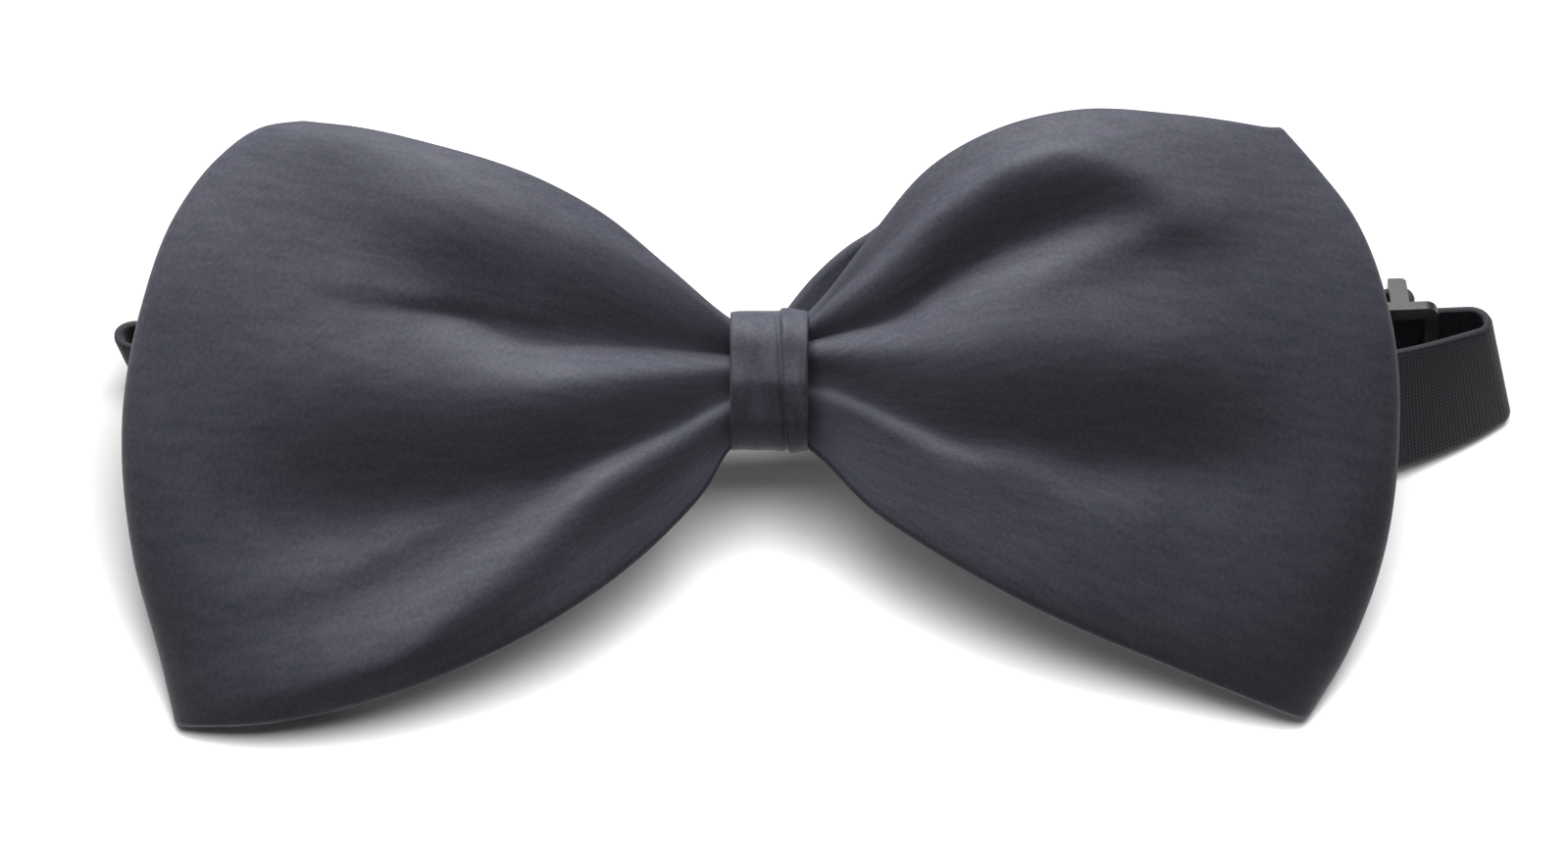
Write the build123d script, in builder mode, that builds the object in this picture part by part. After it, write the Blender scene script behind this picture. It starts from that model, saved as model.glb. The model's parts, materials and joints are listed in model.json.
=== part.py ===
"""A pre-tied satin bow tie on an adjustable neck strap, leaning back on its own strap on a flat surface.

The bow is a band of satin, lined with stiff interlining, folded into two open loops and gathered at the waist by
thread. A narrow knot band wraps the waist and holds the neck strap behind it. The strap folds flat behind the bow:
one short end carries the clasp's eye, and the long end runs through the clasp's hook and back to a three bar
adjuster. All sizes are in millimetres, +Z is up and the origin is the centre of the footprint.
"""

import os
from math import asin, atan2, cos, degrees, radians, sin

from build123d import *

# Bow
BOW_WIDTH = 120.0
BOW_HEIGHT = 57.6  # between the wings' highest edge and their lowest corners, along the bow
LEAN = 38.0  # how far the bow leans back from upright, in degrees
LEFT_REACH = (0.457, 0.480, 0.507, 0.492, 0.452, 0.375)  # outer fold of the left loop, in bow widths from the knot
RIGHT_REACH = (0.396, 0.454, 0.493, 0.482, 0.443, 0.388)
REACH_HEIGHTS = (-0.625, -0.434, -0.139, 0.139, 0.312, 0.469)  # where those reaches are, in bow heights
CORNER_DROP = 0.573  # the lowest corners of the wings below the knot's middle, in bow heights
CORNER_DEPTH = 4.0  # how far those corners stand behind the knot's middle
LEFT_TOP = ((0.105, 0.234), (0.222, 0.359), (0.367, 0.411), (0.517, 0.427))  # in bow widths and bow heights
RIGHT_TOP = ((0.082, 0.247), (0.152, 0.382), (0.250, 0.439), (0.517, 0.427))
LEFT_BOTTOM = ((0.082, -0.233), (0.175, -0.396), (0.333, -0.531), (0.517, -CORNER_DROP))
RIGHT_BOTTOM = ((0.082, -0.215), (0.198, -0.363), (0.350, -0.500), (0.517, -CORNER_DROP))
FRONT_PUFF = 6.6  # how far the loops stand out in front of the knot's middle plane
BACK_PUFF = 6.0
SATIN_THICKNESS = 0.9  # doubled satin with its seam allowances
LINING_THICKNESS = 0.5

# Waist and knot
KNOT_WIDTH = 7.4
KNOT_HEIGHT = 13.2
KNOT_DEPTH = 9.2
KNOT_CORNER = 3.4
KNOT_BACK_CORNER = 1.4
WAIST_SPREAD = 1.6  # how far the pressed pleats reach out of the knot on each side
KNOT_SATIN = 0.55
KNOT_LINING = 0.35
OVERLAP_HEIGHT = 7.0
OVERLAP_THICKNESS = 0.5
THREAD_DIAMETER = 0.5
THREAD_TURNS = 4
THREAD_PITCH = 0.7
FIT_GAP = 0.1  # room between fabric plies that are packed together

# Strap
STRAP_WIDTH = 12.0
STRAP_PINCHED = 10.6  # its width inside the knot
STRAP_THICKNESS = 0.9
FOLD_RADIUS = 1.8  # of the strap's middle where it folds back behind a wing
FOLD_PAST_RIGHT = 10.0  # from the right wing's reach to the middle of the strap's fold behind it
FOLD_PAST_LEFT = 0.7
RIGHT_FOLD_BEHIND = 27.6  # from the knot's middle back to the strap's fold
LEFT_FOLD_BEHIND = 25.4
RING_SKEW = 3.6  # turn of the back run from the bow's long axis, in degrees
HEM_LENGTH = 9.0
STITCH_SIZE = (1.5, 0.36, 0.22)  # long, wide and proud of the cloth

# Metal hardware
BAR_DIAMETER = 1.4
RAIL_HEIGHT = 1.3
RAIL_GAP = 0.3  # between the strap's edges and a metal rail
PLATE_THICKNESS = 1.2
ADJUSTER_LENGTH = 7.4
ADJUSTER_PLACE = 7.8  # from the right fold to the adjuster's middle bar
HOOK_PLACE = 95.5  # from the right fold to the hook's strap bar
TONGUE_LENGTH = 12.0
TONGUE_WIDTH = 6.0
LIP_DROP = 2.9
CLASP_GAP = 0.6  # between the hook's lip and the eye's bar
EYE_LENGTH = 6.6  # between the middles of the eye's two upright bars

# Worked out from the sizes above
bar_radius = BAR_DIAMETER / 2
strap_low = RAIL_HEIGHT + RAIL_GAP
strap_high = strap_low + STRAP_WIDTH
metal_high = strap_high + RAIL_GAP + RAIL_HEIGHT
wrap_radius = bar_radius + FIT_GAP + STRAP_THICKNESS / 2
waist_height = KNOT_HEIGHT - 2 * (KNOT_SATIN + KNOT_LINING + FIT_GAP)
knot_inside = KNOT_DEPTH / 2 - KNOT_SATIN - KNOT_LINING
strap_seat = knot_inside - FIT_GAP - STRAP_THICKNESS / 2  # depth of the strap's middle behind the knot's middle
waist_front = knot_inside - FIT_GAP
waist_back = knot_inside - 2 * FIT_GAP - STRAP_THICKNESS
waist_corner = min(KNOT_CORNER - KNOT_SATIN - KNOT_LINING - FIT_GAP, 0.45 * (waist_front + waist_back))
knot_corner = waist_corner + FIT_GAP + KNOT_LINING + KNOT_SATIN  # the knot's front corners go round the waist's
corner_drop = CORNER_DROP * BOW_HEIGHT
knot_y = corner_drop * sin(radians(LEAN)) - CORNER_DEPTH * cos(radians(LEAN))
knot_z = corner_drop * cos(radians(LEAN)) + CORNER_DEPTH * sin(radians(LEAN))

up_bow = Vector(0, sin(radians(LEAN)), cos(radians(LEAN)))
bow_normal = Vector(0, -cos(radians(LEAN)), sin(radians(LEAN)))
knot_middle = Vector(0, knot_y, knot_z)
bow_plane = Plane(origin=knot_middle, x_dir=(1, 0, 0), z_dir=bow_normal)
across_plane = Plane(origin=knot_middle, x_dir=(0, -bow_normal.Y, -bow_normal.Z), z_dir=(1, 0, 0))

back_direction = Vector(cos(radians(RING_SKEW)), sin(radians(RING_SKEW)), 0)
back_outward = Vector(-sin(radians(RING_SKEW)), cos(radians(RING_SKEW)), 0)
right_fold = Vector(max(RIGHT_REACH) * BOW_WIDTH + FOLD_PAST_RIGHT, knot_y + RIGHT_FOLD_BEHIND, 0)
back_plane = Plane(origin=right_fold + back_outward * FOLD_RADIUS, x_dir=back_direction, z_dir=(0, 0, 1))
strap_plane = back_plane.offset(strap_low)

# Places along the back run: along it from the right fold, and outward from the long run's middle
adjuster_at = -ADJUSTER_PLACE
adjuster_bar_out = STRAP_THICKNESS * 1.5 + 2 * FIT_GAP + FIT_GAP + bar_radius
hook_at = -HOOK_PLACE
hook_out = wrap_radius
return_out = 2 * wrap_radius
lip_at = hook_at - TONGUE_LENGTH
eye_right = lip_at + PLATE_THICKNESS / 2 + CLASP_GAP + bar_radius
eye_left = eye_right - EYE_LENGTH
eye_out = hook_out - PLATE_THICKNESS / 2 - RAIL_GAP - bar_radius

# The short end's plane, with its origin on the eye's left bar, along the line that meets the left fold's circle
left_fold = Vector(-max(LEFT_REACH) * BOW_WIDTH - FOLD_PAST_LEFT, knot_y + LEFT_FOLD_BEHIND, 0)
eye_bar = back_plane.from_local_coords(Vector(eye_left, eye_out, 0))
to_bar = eye_bar - left_fold
short_skew = atan2(to_bar.Y, to_bar.X) - asin((FOLD_RADIUS - STRAP_THICKNESS / 2) / to_bar.length)
short_plane = Plane(origin=eye_bar, x_dir=(cos(short_skew), sin(short_skew), 0), z_dir=(0, 0, 1))
left_fold_at = short_plane.to_local_coords(left_fold).X


def wing_section(reach, inset):
    """Closed curve of a loop seen along the bow's height, for the right side: reach long, then inset all round."""
    front = FRONT_PUFF - inset
    back = BACK_PUFF - inset
    tip = reach - inset
    return [
        (1.0 + 3 * inset, 0),
        (0.12 * reach + inset, 0.42 * front),
        (0.38 * reach, 0.86 * front),
        (0.70 * reach, front),
        (0.93 * reach - inset, 0.55 * front),
        (tip, -0.1 * back),
        (0.93 * reach - inset, -0.62 * back),
        (0.70 * reach, -back),
        (0.38 * reach, -0.70 * back),
        (0.12 * reach + inset, -0.30 * back),
    ]


def wing(reaches, side, inset):
    """The solid that a loop's outside encloses, shrunk by inset, lofted up the bow's height."""
    with BuildPart() as body:
        for height, share in zip(REACH_HEIGHTS, reaches):
            reach = share * BOW_WIDTH
            origin = knot_middle + up_bow * height * BOW_HEIGHT
            with BuildSketch(Plane(origin=origin, x_dir=(1, 0, 0), z_dir=-up_bow)):
                with BuildLine():
                    Spline(*[(side * x, n) for x, n in wing_section(reach, inset)], periodic=True)
                make_face()
        loft()
    return body.part


def outline(top, bottom, side):
    """The bow's outline on one side: its curved top and bottom edges, open to the outside."""
    with BuildPart() as body:
        with BuildSketch(bow_plane):
            with BuildLine():
                start = (0, waist_height / 2)
                over = Spline(start, *[(side * x * BOW_WIDTH, y * BOW_HEIGHT) for x, y in top])
                end = (0, -waist_height / 2)
                under = Spline(end, *[(side * x * BOW_WIDTH, y * BOW_HEIGHT) for x, y in bottom])
                Line(over @ 1, under @ 1)
                Line(under @ 0, over @ 0)
            make_face()
        extrude(amount=3 * FRONT_PUFF, both=True)
    return body.part


left_outline = outline(LEFT_TOP, LEFT_BOTTOM, -1)
right_outline = outline(RIGHT_TOP, RIGHT_BOTTOM, 1)

# The gathered waist: pleats pressed into a block, with a groove where the thread binds it
with BuildPart() as waist:
    with BuildSketch(across_plane.offset(-KNOT_WIDTH / 2 - WAIST_SPREAD)):
        with Locations(((waist_back - waist_front) / 2, 0)):
            RectangleRounded(waist_front + waist_back, waist_height, waist_corner)
    extrude(amount=KNOT_WIDTH + 2 * WAIST_SPREAD)
    groove_width = THREAD_TURNS * THREAD_PITCH + FIT_GAP
    with BuildSketch(across_plane.offset(-groove_width / 2)):
        with Locations(((waist_back - waist_front) / 2, 0)):
            RectangleRounded(waist_front + waist_back, waist_height, waist_corner)
            groove_inset = 2 * (THREAD_DIAMETER + FIT_GAP)
            RectangleRounded(
                waist_front + waist_back - groove_inset,
                waist_height - groove_inset,
                waist_corner - groove_inset / 2,
                mode=Mode.SUBTRACT,
            )
    extrude(amount=groove_width, mode=Mode.SUBTRACT)

with BuildPart() as knot_room:
    with BuildSketch(across_plane.offset(-KNOT_WIDTH / 2 - FIT_GAP)):
        Rectangle(3 * KNOT_DEPTH, 2 * KNOT_HEIGHT)
    extrude(amount=KNOT_WIDTH + 2 * FIT_GAP)

# Satin of the bow: both loops, hollow and open above and below, joined by the waist
with BuildPart() as bow_satin:
    for reaches, side, shape in ((LEFT_REACH, -1, left_outline), (RIGHT_REACH, 1, right_outline)):
        loop = (wing(reaches, side, 0) - wing(reaches, side, SATIN_THICKNESS)) & shape
        add(loop - knot_room.part)
    add(waist.part)

# Interlining against the inside of each loop
linings = {}
for name, reaches, side, shape in (
    ("left_interlining", LEFT_REACH, -1, left_outline),
    ("right_interlining", RIGHT_REACH, 1, right_outline),
):
    inner = SATIN_THICKNESS + LINING_THICKNESS
    with BuildPart() as lining:
        add((wing(reaches, side, SATIN_THICKNESS) - wing(reaches, side, inner)) & shape)
        clear_of_waist = KNOT_WIDTH / 2 + WAIST_SPREAD + FIT_GAP
        with BuildSketch(across_plane.offset(-clear_of_waist)):
            Rectangle(3 * KNOT_DEPTH, 2 * KNOT_HEIGHT)
        extrude(amount=2 * clear_of_waist, mode=Mode.SUBTRACT)
    linings[name] = lining

# Thread that binds the waist, one ring for each turn
with BuildPart() as waist_thread:
    for turn in range(THREAD_TURNS):
        place = (turn - (THREAD_TURNS - 1) / 2) * THREAD_PITCH
        with BuildSketch(across_plane.offset(place - THREAD_DIAMETER / 2)):
            with Locations(((waist_back - waist_front) / 2, 0)):
                outer = FIT_GAP
                RectangleRounded(waist_front + waist_back - outer, waist_height - outer, waist_corner - outer / 2)
                inner = outer + 2 * THREAD_DIAMETER
                RectangleRounded(
                    waist_front + waist_back - inner,
                    waist_height - inner,
                    waist_corner - inner / 2,
                    mode=Mode.SUBTRACT,
                )
        extrude(amount=THREAD_DIAMETER)


def knot_section(shrink):
    """The knot seen from its side, rounder in front than at the back, shrunk all round."""
    with BuildSketch() as section:
        Rectangle(KNOT_DEPTH - 2 * shrink, KNOT_HEIGHT - 2 * shrink)
        fillet(section.vertices().group_by(Axis.X)[0], knot_corner - shrink)
        fillet(section.vertices().group_by(Axis.X)[-1], KNOT_BACK_CORNER - shrink)
    return section.sketch


def knot_ring(outside, thickness):
    """A band round the waist and strap, as a ring with rounded corners, outside being its shrink from the knot."""
    with BuildPart() as ring:
        with BuildSketch(across_plane.offset(-KNOT_WIDTH / 2)):
            add(knot_section(outside))
            add(knot_section(outside + thickness), mode=Mode.SUBTRACT)
        extrude(amount=KNOT_WIDTH)
    return ring


# Satin of the knot, with the end that laps over it at the back, and the lining inside it
knot_satin = knot_ring(0, KNOT_SATIN)
with BuildPart() as knot_band:
    add(knot_satin.part)
    with BuildSketch(across_plane.offset(-KNOT_WIDTH / 2)):
        with Locations((KNOT_DEPTH / 2 + OVERLAP_THICKNESS / 2, 0)):
            Rectangle(OVERLAP_THICKNESS, OVERLAP_HEIGHT)
    extrude(amount=KNOT_WIDTH)
knot_lining = knot_ring(KNOT_SATIN, KNOT_LINING)

# Slip stitches below the lapped end
with BuildPart() as knot_stitches:
    stitch_long, stitch_wide, stitch_proud = STITCH_SIZE
    stitch_count = 4
    spacing = KNOT_WIDTH / (stitch_count + 1)
    stitch_height = (OVERLAP_HEIGHT + stitch_long) / 2 - 2 * KNOT_SATIN + stitch_long / 4
    for column in range(stitch_count):
        x = (column - (stitch_count - 1) / 2) * spacing
        place = knot_middle - bow_normal * (KNOT_DEPTH / 2) - up_bow * (OVERLAP_HEIGHT / 2) + Vector(x, 0, 0)
        with BuildSketch(Plane(origin=place, x_dir=(1, 0, 0), z_dir=-bow_normal)):
            with Locations((0, stitch_wide)):
                Rectangle(stitch_wide, 2 * stitch_wide)
        extrude(amount=stitch_proud)


def front_run_sections(side):
    """Strap sections from the knot to a fold, as planes and widths: it swings back and down, and stands up."""
    fold = right_fold if side > 0 else left_fold
    start = Vector(side * (KNOT_WIDTH / 2 + STRAP_THICKNESS), 0, 0) + knot_middle - bow_normal * strap_seat
    turn = 0.7
    for _ in range(20):  # the run meets the fold's circle where their directions agree
        end = fold + Vector(side * sin(turn), -cos(turn), 0) * FOLD_RADIUS
        turn = atan2(2 * (end.Y - start.Y), abs(end.X - start.X))
    end = end + Vector(0, 0, (strap_low + strap_high) / 2)
    sections = []
    for share in (0.0, 0.12, 0.28, 0.46, 0.64, 0.82, 1.0):
        ease = share * share * (3 - 2 * share)
        place = Vector(
            start.X + (end.X - start.X) * share,
            start.Y + (end.Y - start.Y) * share**2,
            start.Z + (end.Z - start.Z) * ease,
        )
        along = Vector(
            end.X - start.X, 2 * share * (end.Y - start.Y), 6 * share * (1 - share) * (end.Z - start.Z)
        ).normalized()
        tilt = radians(LEAN) * (1 - ease)
        wide = Vector(0, sin(tilt), cos(tilt))
        wide = (wide - along * wide.dot(along)).normalized()
        width = STRAP_PINCHED + (STRAP_WIDTH - STRAP_PINCHED) * min(1, 4 * share)
        sections.append((Plane(origin=place, x_dir=wide, z_dir=along), width))
    return sections, turn


right_sections, right_turn = front_run_sections(1)
left_sections, left_turn = front_run_sections(-1)

# Strap in front: from the left fold, through the knot, to the right fold
with BuildPart() as strap_front:
    for sections in (left_sections, right_sections):
        for plane, width in sections:
            with BuildSketch(plane):
                Rectangle(width, STRAP_THICKNESS)
        loft(clean=False)
    with BuildSketch(right_sections[0][0]):
        Rectangle(STRAP_PINCHED, STRAP_THICKNESS)
    extrude(amount=left_sections[0][0].origin.X - right_sections[0][0].origin.X)


def bend(fold, first, last):
    """The strap's turn round a fold, from one direction to the other, in degrees about the fold's middle."""
    with BuildPart() as turn:
        with BuildSketch(Plane(origin=(fold.X, fold.Y, strap_low), x_dir=(1, 0, 0), z_dir=(0, 0, 1))):
            with BuildLine():
                outer = CenterArc((0, 0), FOLD_RADIUS + STRAP_THICKNESS / 2, first, last - first)
                inner = CenterArc((0, 0), FOLD_RADIUS - STRAP_THICKNESS / 2, first, last - first)
                Line(outer @ 0, inner @ 0)
                Line(outer @ 1, inner @ 1)
            make_face()
        extrude(amount=STRAP_WIDTH)
    return turn


strap_right_bend = bend(right_fold, degrees(right_turn) - 90, 90 + RING_SKEW)
strap_left_bend = bend(left_fold, 90 + degrees(short_skew), 270 - degrees(left_turn))


def strip(first, last, out):
    """A length of strap seen from above, on the back run: from first to last, out from the long run."""
    with Locations(((first + last) / 2, out)):
        Rectangle(abs(last - first), STRAP_THICKNESS)


def hem_loop(bar_at, bar_out, ply_out):
    """The end of a strap seen from above: looped round a bar, then stitched flat to itself towards the left."""
    flat_from = bar_at - HEM_LENGTH
    flat_to = bar_at - 4 * bar_radius
    with BuildSketch() as hem:
        with BuildLine():
            CenterArc((bar_at, bar_out), wrap_radius + STRAP_THICKNESS / 2, 0, 360)
            Line((flat_to, ply_out - STRAP_THICKNESS), (flat_to, ply_out + STRAP_THICKNESS))
        make_hull()
        with BuildLine():
            CenterArc((bar_at, bar_out), bar_radius + FIT_GAP, 0, 360)
            Line((flat_to + 0.1, ply_out - 0.02), (flat_to + 0.1, ply_out + 0.02))
        make_hull(mode=Mode.SUBTRACT)
        strip(flat_from, flat_to, ply_out + STRAP_THICKNESS / 2)
        strip(flat_from, flat_to, ply_out - STRAP_THICKNESS / 2)
    return hem.sketch


# Short end of the strap, hemmed round the eye's left bar
with BuildPart() as strap_short_run:
    with BuildSketch(short_plane.offset(strap_low)):
        add(hem_loop(0, 0, 0))
        strip(left_fold_at, -HEM_LENGTH, STRAP_THICKNESS / 2)
    extrude(amount=STRAP_WIDTH)

# Long end of the strap: through the adjuster and round the hook's bar
with BuildPart() as strap_long_run:
    with BuildSketch(strap_plane):
        strip(hook_at, 0, 0)
        with BuildLine():
            with Locations((hook_at, hook_out)):
                outer = CenterArc((0, 0), wrap_radius + STRAP_THICKNESS / 2, 90, 180)
                inner = CenterArc((0, 0), wrap_radius - STRAP_THICKNESS / 2, 90, 180)
            Line(outer @ 0, inner @ 0)
            Line(outer @ 1, inner @ 1)
        make_face()
    extrude(amount=STRAP_WIDTH)

# The strap's way back from the hook to the adjuster
adjuster_ply_out = (return_out + adjuster_bar_out) / 2
with BuildPart() as strap_return_run:
    with BuildSketch(strap_plane):
        strip(hook_at, adjuster_at - HEM_LENGTH, return_out)
    extrude(amount=STRAP_WIDTH)

# The strap's last end, hemmed round the adjuster's middle bar
with BuildPart() as adjuster_hem:
    with BuildSketch(strap_plane):
        add(hem_loop(adjuster_at, adjuster_bar_out, return_out - STRAP_THICKNESS / 2))
    extrude(amount=STRAP_WIDTH)


def bar_tack(run, along, out):
    """Two upright rows of stitches on the outside of a hem, at this place along a run's plane and out from it."""
    rows = 5
    with BuildPart() as tack:
        for offset in (-HEM_LENGTH / 8, HEM_LENGTH / 8):
            for row in range(rows):
                up = (row - (rows - 1) / 2) * STRAP_WIDTH / (rows + 0.5)
                middle = (strap_low + strap_high) / 2 + up
                place = run.from_local_coords(Vector(along + offset, out, middle))
                with BuildSketch(Plane(origin=place, x_dir=(0, 0, 1), z_dir=run.y_dir)):
                    RectangleRounded(stitch_long, stitch_wide, stitch_wide * 0.45)
                extrude(amount=stitch_proud)
    return tack


eye_hem_stitches = bar_tack(short_plane, -0.68 * HEM_LENGTH, STRAP_THICKNESS)
adjuster_hem_stitches = bar_tack(
    back_plane, adjuster_at - 0.68 * HEM_LENGTH, return_out + STRAP_THICKNESS / 2
)

# Three bar adjuster: two flat bars and their rails inside the ring, and a round middle bar carried on posts
frame_inner = -STRAP_THICKNESS / 2 - 2 * FIT_GAP - PLATE_THICKNESS
with BuildPart() as adjuster_frame:
    frame_face = Plane(
        origin=back_plane.from_local_coords(Vector(adjuster_at, frame_inner, metal_high / 2)),
        x_dir=back_direction,
        z_dir=back_outward,
    )
    with BuildSketch(frame_face):
        RectangleRounded(ADJUSTER_LENGTH, metal_high, 1.2)
        Rectangle(ADJUSTER_LENGTH - 2 * RAIL_HEIGHT, metal_high - 2 * RAIL_HEIGHT, mode=Mode.SUBTRACT)
    extrude(amount=PLATE_THICKNESS)
    post_reach = adjuster_bar_out + bar_radius - frame_inner
    for low in (0, metal_high - RAIL_HEIGHT):
        with BuildSketch(back_plane.offset(low)):
            with Locations((adjuster_at, frame_inner + post_reach / 2)):
                Rectangle(2 * bar_radius + 0.4, post_reach)
        extrude(amount=RAIL_HEIGHT)
    fillet(adjuster_frame.edges().filter_by(Axis.Z).group_by(Axis.Y)[-1], 0.6)
    with BuildSketch(back_plane.offset(RAIL_HEIGHT / 2)):
        with Locations((adjuster_at, adjuster_bar_out)):
            Circle(bar_radius)
    extrude(amount=metal_high - RAIL_HEIGHT)

# Clasp hook: a strap bar between two arms, and a tongue bent in to a lip that drops through the eye
arm_reach = 5.2
with BuildPart() as clasp_hook:
    hook_face = Plane(
        origin=back_plane.from_local_coords(
            Vector(hook_at - arm_reach / 2, hook_out - PLATE_THICKNESS / 2, metal_high / 2)
        ),
        x_dir=back_direction,
        z_dir=back_outward,
    )
    with BuildSketch(hook_face):
        with Locations((-bar_radius / 2, 0)):
            RectangleRounded(arm_reach + bar_radius, metal_high, 1.0)
        with Locations((RAIL_HEIGHT / 2 + bar_radius, 0)):
            Rectangle(arm_reach + bar_radius, metal_high - 2 * RAIL_HEIGHT, mode=Mode.SUBTRACT)
    extrude(amount=PLATE_THICKNESS)
    with BuildSketch(back_plane.offset(RAIL_HEIGHT / 2)):
        with Locations((hook_at, hook_out)):
            Circle(bar_radius)
    extrude(amount=metal_high - RAIL_HEIGHT)
    with BuildSketch(back_plane.offset((metal_high - TONGUE_WIDTH) / 2)):
        with BuildLine() as tongue_line:
            FilletPolyline(
                (hook_at - arm_reach + 0.2, hook_out),
                (lip_at, hook_out),
                (lip_at, hook_out - LIP_DROP),
                radius=1.0,
            )
        trace(line_width=PLATE_THICKNESS)
    extrude(amount=TONGUE_WIDTH)

# Clasp eye: a rectangle of round wire
with BuildPart() as clasp_eye:
    eye_middle = back_plane.from_local_coords(Vector((eye_left + eye_right) / 2, eye_out, metal_high / 2))
    with BuildLine(Plane(origin=eye_middle, x_dir=back_direction, z_dir=-back_outward)) as eye_line:
        corner = bar_radius + 0.2
        half = EYE_LENGTH / 2
        tall = metal_high / 2 - bar_radius
        FilletPolyline((half, -tall), (half, tall), (-half, tall), (-half, -tall), radius=corner, close=True)
    with BuildSketch(Plane(origin=eye_line.line @ 0, z_dir=eye_line.line % 0)):
        Circle(bar_radius)
    sweep()

pieces = {
    "bow_satin": bow_satin.part,
    "left_interlining": linings["left_interlining"].part,
    "right_interlining": linings["right_interlining"].part,
    "waist_thread": waist_thread.part,
    "knot_band": knot_band.part,
    "knot_lining": knot_lining.part,
    "knot_stitches": knot_stitches.part,
    "strap_front_run": strap_front.part,
    "strap_right_bend": strap_right_bend.part,
    "strap_left_bend": strap_left_bend.part,
    "strap_short_run": strap_short_run.part,
    "eye_hem_stitches": eye_hem_stitches.part,
    "clasp_eye": clasp_eye.part,
    "strap_long_run": strap_long_run.part,
    "strap_return_run": strap_return_run.part,
    "adjuster_hem": adjuster_hem.part,
    "adjuster_hem_stitches": adjuster_hem_stitches.part,
    "adjuster_frame": adjuster_frame.part,
    "clasp_hook": clasp_hook.part,
}

# The origin is the middle of the footprint, on the surface that the bow tie rests on
boxes = [piece.bounding_box() for piece in pieces.values()]
middle_x = (min(box.min.X for box in boxes) + max(box.max.X for box in boxes)) / 2
middle_y = (min(box.min.Y for box in boxes) + max(box.max.Y for box in boxes)) / 2
lowest = min(box.min.Z for box in boxes)
to_origin = Location((-middle_x, -middle_y, -lowest))

os.makedirs("parts", exist_ok=True)
for name, piece in pieces.items():
    placed = piece.moved(to_origin)
    placed.label = name
    export_step(placed, f"parts/{name}.step")
print("origin shift", [round(v, 3) for v in to_origin.position])
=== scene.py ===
import json
import math

import bpy
import numpy as np
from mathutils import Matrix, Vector


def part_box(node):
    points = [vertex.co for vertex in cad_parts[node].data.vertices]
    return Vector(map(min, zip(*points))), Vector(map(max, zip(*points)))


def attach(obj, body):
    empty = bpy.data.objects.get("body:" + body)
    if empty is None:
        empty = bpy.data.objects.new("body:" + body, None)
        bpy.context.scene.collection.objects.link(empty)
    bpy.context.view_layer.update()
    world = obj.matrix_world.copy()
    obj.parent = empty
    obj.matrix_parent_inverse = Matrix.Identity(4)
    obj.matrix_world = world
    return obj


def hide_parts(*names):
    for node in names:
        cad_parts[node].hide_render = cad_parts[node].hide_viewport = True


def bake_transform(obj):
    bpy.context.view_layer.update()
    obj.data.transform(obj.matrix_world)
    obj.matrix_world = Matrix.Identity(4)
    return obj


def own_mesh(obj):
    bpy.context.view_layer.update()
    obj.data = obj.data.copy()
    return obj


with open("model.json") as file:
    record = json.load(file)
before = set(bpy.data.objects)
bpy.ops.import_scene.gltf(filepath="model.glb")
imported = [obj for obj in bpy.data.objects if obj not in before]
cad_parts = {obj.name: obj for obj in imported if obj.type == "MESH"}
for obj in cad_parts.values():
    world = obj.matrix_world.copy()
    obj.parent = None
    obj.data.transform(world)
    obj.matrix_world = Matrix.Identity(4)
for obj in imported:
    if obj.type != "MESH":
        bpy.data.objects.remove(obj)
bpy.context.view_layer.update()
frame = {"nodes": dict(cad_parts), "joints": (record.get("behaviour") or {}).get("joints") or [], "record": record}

# ---------------------------------------------------------------- camera, light and table
# A wide pale table top, a soft light above and behind, a weak one in front, and a lamp for the table alone.
# The camera looks down at the bow square on, from far enough away to flatten the view.

ELEVATION = math.radians(39.5)
CAMERA_DISTANCE = 1.35
VIEW_WIDTH = 0.1492
SENSOR_WIDTH = 36
low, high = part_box("bow_satin")
aim = np.array([-0.0024, 0.5 * (low[1] + high[1]) + 0.0004, 0.5 * (low[2] + high[2]) - 0.0016])

camera_data = bpy.data.cameras.new("camera")
camera_data.sensor_width = SENSOR_WIDTH
camera_data.lens = SENSOR_WIDTH * CAMERA_DISTANCE / VIEW_WIDTH
camera_data.clip_start = 0.05
camera_data.clip_end = 20
camera = bpy.data.objects.new("camera", camera_data)
camera.location = aim + CAMERA_DISTANCE * np.array([0, -math.cos(ELEVATION), math.sin(ELEVATION)])
camera.rotation_euler = (math.pi / 2 - ELEVATION, 0, 0)
bpy.context.scene.collection.objects.link(camera)
bpy.context.scene.camera = camera


def soft_light(name, place, target, size, watts):
    """A square area light at place, aimed at target, with its size and power."""
    data = bpy.data.lights.new(name, "AREA")
    data.size = size
    data.energy = watts
    light = bpy.data.objects.new(name, data)
    light.location = place
    light.rotation_euler = (Vector(target) - Vector(place)).to_track_quat("-Z", "Y").to_euler()
    bpy.context.scene.collection.objects.link(light)
    return light


key = soft_light("key", (-0.12, 0.42, 0.95), (0, 0, 0.02), 0.5, 17)
soft_light("front_fill", (-0.5, -0.8, 0.6), (0, 0, 0.02), 0.9, 0.2)

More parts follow.
